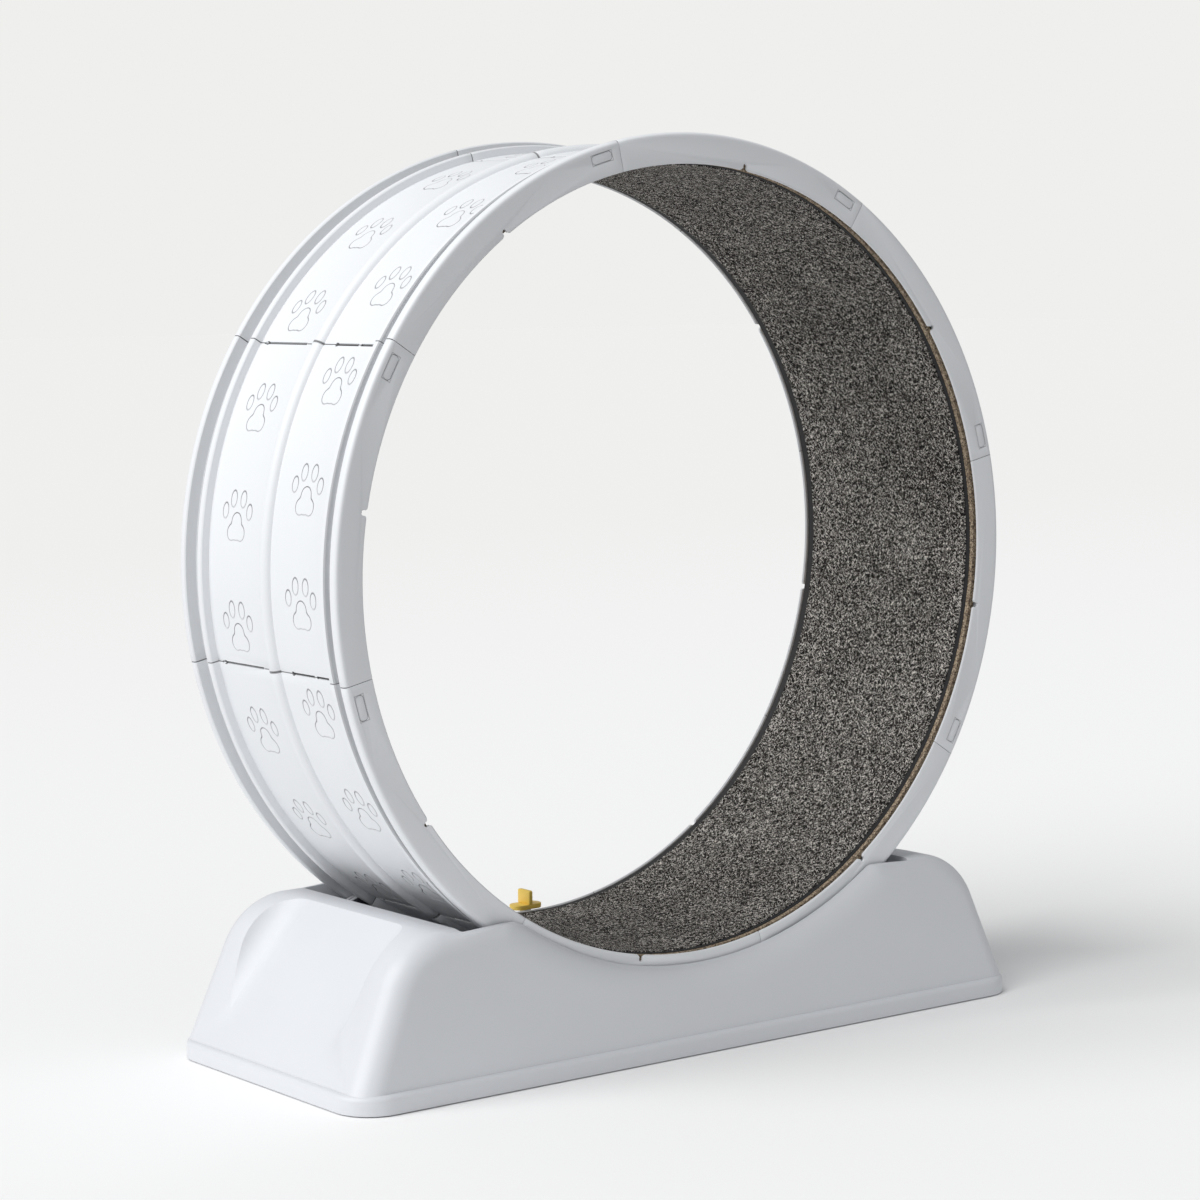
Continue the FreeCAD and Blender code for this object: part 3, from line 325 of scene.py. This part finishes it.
# the slits along the seams, painted in as lines of shade: the rear one a double line, the front one crossed
# by a bridge, each with a small square eye at its rear end
slit_shade = span(y, 0.0690, 0.0410) * (0.45 + seam.ease(0.0004, 0.0009) * 0.4)
slit_shade = slit_shade + span(y, -0.0755, 0.0415) * (1.0 - span(y, -0.0820, 0.0030)) * 0.85
slit_shade = slit_shade * (1.0 - seam.ease(0.0012, 0.0017))
eye_shade = (span(y, 0.1080, 0.0022) + span(y, -0.0365, 0.0022)) * (1.0 - seam.ease(0.0021, 0.0027))
slit_shade = slit_shade.math("MAXIMUM", eye_shade * 0.85) * radius.ease(0.4820, 0.4830)
# painted shade in the cut outlining the windows of the snap latches on the side faces
along = from_line(15.6) - 0.0152
rise = (radius - 0.4860).math("ABSOLUTE") - 0.0060
latch_outline_shade = (1.0 - along.math("MAXIMUM", rise).math("ABSOLUTE").ease(0.0003, 0.0009)) * face * 0.35
# painted shade in the hollow under the lining and in the channels that the rollers run in, deep in the far
# one, faint in the near one but for a line along its inner edge
hollow_shade = (1.0 - radius.ease(0.4760, 0.4780)) * (1.0 - reach.ease(0.1603, 0.1609))
channel_shade = span(y, 0.1413, 0.0088) * 0.38 + span(y, -0.1413, 0.0088) * 0.08 + span(y, -0.1338, 0.0010) * 0.3
channel_shade = channel_shade * outside
deepest = over_spine * 0.6
for shaded in (gap, slit_shade, channel_shade, latch_outline_shade):
    deepest = deepest.math("MAXIMUM", shaded)
# painted shade: the darkest of the marks above, the line round each paw print, the side faces a tenth darker,
# and the hollow under the lining much darker
shade = (1.0 - deepest) * (1.0 - paw_outline_shade * 0.20) * (1.0 - face * 0.10) * (1.0 - hollow_shade * 0.8)
dark = paint.get("CombineColor", Red=shade, Green=shade, Blue=shade)
multiply = {"data_type": "RGBA", "blend_type": "MULTIPLY"}
paint.feed("Base Color", paint.get("Mix", multiply, out=2, _0=1.0, _6=tone, _7=dark))
paint.bump(grit * 0.03 - sunk * 2.2, 0.001)
rim_plastic = paint.material

segment = moulded("segment", "rim_segment_1", width=0.0005)
segment.data.transform(Matrix.Translation(-axle))

tree = bpy.data.node_groups.new("segments_round_axle", "GeometryNodeTree")
tree.interface.new_socket("Segment", in_out="INPUT", socket_type="NodeSocketObject")
tree.interface.new_socket("Count", in_out="INPUT", socket_type="NodeSocketInt")
tree.interface.new_socket("Plastic", in_out="INPUT", socket_type="NodeSocketMaterial")
tree.interface.new_socket("Geometry", in_out="OUTPUT", socket_type="NodeSocketGeometry")
into, outof = tree.nodes.new("NodeGroupInput"), tree.nodes.new("NodeGroupOutput")
info = tree.nodes.new("GeometryNodeObjectInfo")
seats = tree.nodes.new("GeometryNodePoints")
number = tree.nodes.new("GeometryNodeInputIndex")
step = tree.nodes.new("ShaderNodeMath")
step.operation = "MULTIPLY"
step.inputs[1].default_value = -math.tau / segments
turn = tree.nodes.new("ShaderNodeCombineXYZ")
instances = tree.nodes.new("GeometryNodeInstanceOnPoints")
real = tree.nodes.new("GeometryNodeRealizeInstances")
coat = tree.nodes.new("GeometryNodeSetMaterial")
for start, end in (
        (into.outputs["Segment"], info.inputs["Object"]), (into.outputs["Count"], seats.inputs["Count"]),
        (number.outputs[0], step.inputs[0]), (step.outputs[0], turn.inputs["Y"]),
        (seats.outputs[0], instances.inputs["Points"]),
        (info.outputs["Geometry"], instances.inputs["Instance"]),
        (turn.outputs[0], instances.inputs["Rotation"]), (instances.outputs[0], real.inputs[0]),
        (real.outputs[0], coat.inputs["Geometry"]), (into.outputs["Plastic"], coat.inputs["Material"]),
        (coat.outputs[0], outof.inputs["Geometry"])):
    tree.links.new(start, end)
rim = bpy.data.objects.new("rim", bpy.data.meshes.new("rim"))
scene.collection.objects.link(rim)
snapped = rim.modifiers.new("segments", "NODES")
snapped.node_group = tree
for name, value in (("Segment", segment), ("Count", segments), ("Plastic", rim_plastic)):
    snapped[tree.interface.items_tree[name].identifier] = value
settle(rim)
bpy.data.objects.remove(segment)
rim.data.transform(Matrix.Translation(axle))
finish_piece(rim, rim_plastic, "wheel", "rim_plastic", *["rim_segment_%d" % (k + 1) for k in range(segments)])


# The lining: a ring of speckled pressed board on the segments' ribs, black sheet rubber glued
# to it, whose near-black band along the felt's edges is also painted shadow of the felt's edge, and a
# heathered grey needle felt on top, the lane that the cat runs on.
def ring(name, back, face, low, high, around, lanes, swell=0.0):
    """A closed band about the axle, between two radii, with its running side slightly uneven."""
    data = bpy.data.meshes.new(name)
    points, faces = [], []
    edge = 0.0004
    profile = [(back, low), (back, high), (face + edge, high)]
    profile += [(face, high - edge - (high - low - edge * 2) * lane / lanes) for lane in range(lanes + 1)]
    profile += [(face + edge, low)]
    for k in range(around):
        angle = math.tau * k / around
        for number, (radius, y) in enumerate(profile):
            if swell and 2 < number < len(profile) - 1:
                wave = math.sin(angle * 23 + y * 37) + math.sin(angle * 41 - y * 61 + 1.3)
                radius -= swell * (0.5 + 0.25 * wave)
            points.append((math.cos(angle) * radius, y, axle.z + math.sin(angle) * radius))
    size = len(profile)
    for k in range(around):
        here, there = k * size, (k + 1) % around * size
        for n in range(size):
            m = (n + 1) % size
            faces.append((here + n, here + m, there + m, there + n))
    data.from_pydata(points, [], faces)
    data.update()
    piece = bpy.data.objects.new(name, data)
    scene.collection.objects.link(piece)
    break_edges(piece, 0.0, sharp=40)
    return piece


paint = Finish("backing_board", Roughness=0.82)
chips = paint.get("TexVoronoi", Vector=paint.place(), Scale=620.0)
flecks = paint.get("TexVoronoi", out=1, Vector=paint.place(), Scale=620.0)
tone = paint.get("SeparateColor", Color=flecks)
speckle = paint.get("ValToRGB", {"stops": [(0.0, rgb(74, 62, 52)), (0.35, rgb(124, 107, 90)),
                                           (0.7, rgb(164, 146, 122)), (1.0, rgb(196, 180, 156))]}, Fac=tone)
paint.feed("Base Color", speckle)
paint.bump(chips, 0.0002, 0.6)
board = ring("lining_board", back=0.4725, face=0.4648, low=-0.1548, high=0.1575, around=360, lanes=2)
finish_piece(board, paint.material, "wheel", "board", "mat_board")

paint = Finish("rubber_with_painted_shadow")
grit = paint.noise(900.0, 2.0)
# near black, so that the band showing along the felt's edges paints the felt's shadow as well as the rubber's
# colour
paint.feed("Base Color", paint.mix(paint.noise(70.0, 3.0), rgb(22, 22, 24), rgb(34, 33, 35)))
paint.feed("Roughness", grit * 0.2 + 0.55)
paint.bump(grit, 0.00008)
underlay = ring("lining_rubber", back=0.4646, face=0.4638, low=-0.1495, high=0.1570, around=360, lanes=2)
finish_piece(underlay, paint.material, "wheel", "underlay_rubber", "mat_underlay")

paint = Finish("heather_felt", Roughness=0.95)
paint.shader.inputs["Specular IOR Level"].default_value = 0.15
felt_face = 0.4625
x, y, z = paint.axes()
around = (z - axle.z).math("ARCTAN2", x) * felt_face
sway = (paint.noise(150.0, 2.0) - 0.5) * 0.008
lean, other = around + y + sway, around - y - sway
# two families of fibres that cross each other, with fine pepper and slow patches
strands = []
for first, second in ((1.0, 0.32), (0.32, 1.0)):
    grid = paint.get("CombineXYZ", X=lean * first, Y=other * second, Z=z * 0.3)
    strands.append(paint.noise(440.0, 2.0, 0.6, grid))
fibre = strands[0].math("MAXIMUM", strands[1])
pepper = paint.noise(1300.0, 2.0, 0.6)
patch = paint.noise(14.0, 3.0)
light = (fibre - 0.56) * 5.6 + (pepper - 0.5) * 2.6 + (patch - 0.5) * 0.3 + 0.42
heather = paint.get("ValToRGB", {"stops": [(0.0, rgb(20, 18, 17)), (0.36, rgb(54, 51, 49)),
                                           (0.64, rgb(122, 118, 113)), (1.0, rgb(226, 221, 214))]}, Fac=light)
paint.feed("Base Color", heather)
paint.bump(fibre * 0.6 + pepper * 0.4, 0.0012, 0.8)
felt = ring("running_felt", 0.4637, felt_face, low=-0.1438, high=0.1450, around=720, lanes=41, swell=0.0002)
finish_piece(felt, paint.material, "wheel", "felt", "mat_felt")


# The base: one hollow shell injection moulded in a slightly darker grey plastic, and the tray
# that closes it from below with eight screws.
def plain_plastic(name, colour, rough, grain=0.00003):
    """Satin plastic without prints or seams."""
    paint, tone, grit = satin(name, colour, rough)
    paint.feed("Base Color", tone)
    paint.bump(grit, grain)
    return paint.material


def clamped(share):
    return min(1.0, max(0.0, share))


shell = moulded("shell", "base_shell", width=0.0)
# the long walls stand some millimetres higher along the saddle than the solid's, most on the
# left, and the lift fades out over the band below their edge
beside_rim, saddle_half, hill_top = 0.1665, 0.33, 0.1868
edge_near, edge_low, edge_high, fade = 0.4835, 0.522, 0.4848, 0.0372
lift_all, lift_left = 0.0095, 0.006
for point in shell.data.vertices:
    spot = point.co
    out = Vector((spot.x, 0.0, spot.z - axle.z))
    if abs(spot.y) > beside_rim and edge_near < out.length < edge_low and abs(spot.x) < saddle_half:
        part = clamped((out.length - edge_high) / fade)
        amount = lift_all + lift_left * clamped((-spot.x - 0.12) / 0.15)
        lift = out.normalized() * amount * (1.0 - part * part * (3.0 - 2.0 * part))
        spot.x -= lift.x
        spot.z = min(spot.z - lift.z, max(spot.z, hill_top))
break_edges(shell, 0.0009)
base_plastic = plain_plastic("base_plastic", rgb(206, 208, 212), 0.42)
finish_piece(shell, base_plastic, "base", "base_plastic", "base_shell")

inner_plastic = plain_plastic("inner_plastic", rgb(196, 198, 202), 0.5)
tray = moulded("tray", "base_tray", width=0.0005)
finish_piece(tray, inner_plastic, "base", "inner_plastic", "base_tray")


# Four roller brackets: hollow towers of the tray's plastic with two cheeks each, screwed to
# the tray from below.
corners = ("front_left", "front_right", "rear_left", "rear_right")
for corner in corners:
    bracket = moulded("bracket_" + corner, "roller_bracket_" + corner, width=0.0005)
    finish_piece(bracket, inner_plastic, "base", "inner_plastic", "roller_bracket_" + corner)


# The rollers: a glass-filled hub whose dark grey is painted shade on its face, a pale soft tread with a
# groove moulded over it, and two flanged bushes pressed in, which turn on a steel pin.
# the hub's dark grey is painted shade on the roller's face
hub_plastic = plain_plastic("hub_plastic", rgb(62, 64, 70), 0.4)
paint = Finish("tread_rubber")
dirt = paint.noise(120.0, 4.0, 0.6)
tread_middle = 0.1433
offset = paint.axes()[1].math("ABSOLUTE") - tread_middle
# the groove in the tread is painted dark grey as its shade
groove = offset.math("ABSOLUTE").ease(0.0016, 0.0010)
worn = paint.mix(dirt, rgb(186, 188, 192), rgb(206, 208, 211))
paint.feed("Base Color", paint.mix(groove, worn, rgb(60, 61, 66)))
paint.feed("Roughness", dirt * 0.15 + 0.55)
paint.bump(paint.noise(1400.0, 1.0), 0.00004)
tread_rubber = paint.material
bush_plastic = plain_plastic("bush_plastic", rgb(214, 214, 208), 0.35, 0.000015)
for corner in corners:
    for part, material, slot in (("hub", hub_plastic, "hub_plastic"), ("tyre", tread_rubber, "tread"),
                                 ("bushes", bush_plastic, "bush_plastic")):
        name = "roller_%s_%s" % (part, corner)
        piece = moulded(part + "_" + corner, name, width=0.0003)
        finish_piece(piece, material, "roller_" + corner, slot, name)


# Steel, zinc plated: headed axle pins with the clips that hold them, the slotted screws of
# brackets and tray, and the keeper's washer and screw.
paint = Finish("zinc_steel", Metallic=1.0)
bloom = paint.noise(180.0, 4.0, 0.65)
drawn = paint.get("VectorMath", {"operation": "MULTIPLY"}, _0=paint.place(), _1=(1.0, 1.0, 9.0))
brushed = paint.noise(700.0, 2.0, 0.5, drawn)
paint.feed("Base Color", paint.mix(bloom, rgb(168, 169, 172), rgb(206, 206, 204)))
paint.feed("Roughness", brushed * 0.2 + 0.25)
paint.bump(brushed, 0.00003)
steel = paint.material
for name, body in (("axle_pins", "base"), ("axle_clips", "base"), ("bracket_screws", "base"),
                   ("tray_screws", "base"), ("button_washer", "button"), ("button_screw", "button")):
    piece = moulded("steel_" + name, name, width=0.00012, segments=1)
    finish_piece(piece, steel, body, "steel", name)


# Eight round feet of black rubber, stuck to the tray's underside; the whole wheel stands on
# them.
paint = Finish("foot_rubber")
grit = paint.noise(800.0, 2.0)
paint.feed("Base Color", paint.mix(paint.noise(60.0, 3.0), rgb(38, 38, 41), rgb(54, 54, 57)))
paint.feed("Roughness", grit * 0.2 + 0.6)
paint.bump(grit, 0.00008)
soles = moulded("feet", "rubber_feet", width=0.0003)
finish_piece(soles, paint.material, "base", "foot_rubber", "rubber_feet")


# The keeper: a quarter-turn piece on the rear wall, moulded in yellow plastic in one with its
# finger tab and held by a screw with a washer from below.
def thicken(face, offset):
    """Draw a flat outline out into a solid plate."""
    grown = bmesh.ops.extrude_face_region(shape, geom=[face])
    moved = [part for part in grown["geom"] if isinstance(part, bmesh.types.BMVert)]
    bmesh.ops.translate(shape, vec=offset, verts=moved)


keeper_y, plate_low, plate_thick = 0.1746, 0.1158, 0.0062
plate_straight, plate_end, plate_half = 0.0105, 0.0115, 0.0120
tab_half, tab_thick, tab_foot, tab_shoulder, tab_round = 0.0126, 0.0054, 0.1218, 0.1370, 0.0026
shape = bmesh.new()
outline = []
for k in range(32):
    angle = math.tau * (k + 0.5) / 32
    outline.append((math.copysign(plate_straight, math.cos(angle)) + plate_end * math.cos(angle),
                    keeper_y + plate_half * math.sin(angle), plate_low))
thicken(shape.faces.new([shape.verts.new(spot) for spot in outline]), (0, 0, plate_thick))
tab = [(-tab_half, tab_foot), (tab_half, tab_foot), (tab_half, tab_shoulder)]
for side, turns in ((1, (0.5, 1.0, math.pi / 2)), (-1, (math.pi / 2, 1.0, 0.5))):
    tab += [(side * (tab_half - tab_round * (1 - math.cos(turn))), tab_shoulder + tab_round * math.sin(turn))
            for turn in turns]
tab.append((-tab_half, tab_shoulder))
cut = [shape.verts.new((-tab_thick / 2, keeper_y + along_tab, up)) for along_tab, up in tab]
thicken(shape.faces.new(cut), (tab_thick, 0, 0))
bmesh.ops.recalc_face_normals(shape, faces=shape.faces)
data = bpy.data.meshes.new("keeper")
shape.to_mesh(data)
shape.free()
keeper = bpy.data.objects.new("keeper", data)
scene.collection.objects.link(keeper)
break_edges(keeper, 0.0011, segments=3, bent=40, sharp=50)
yellow = plain_plastic("keeper_plastic", rgb(247, 212, 100), 0.36)
finish_piece(keeper, yellow, "button", "button_plastic", "turn_button")
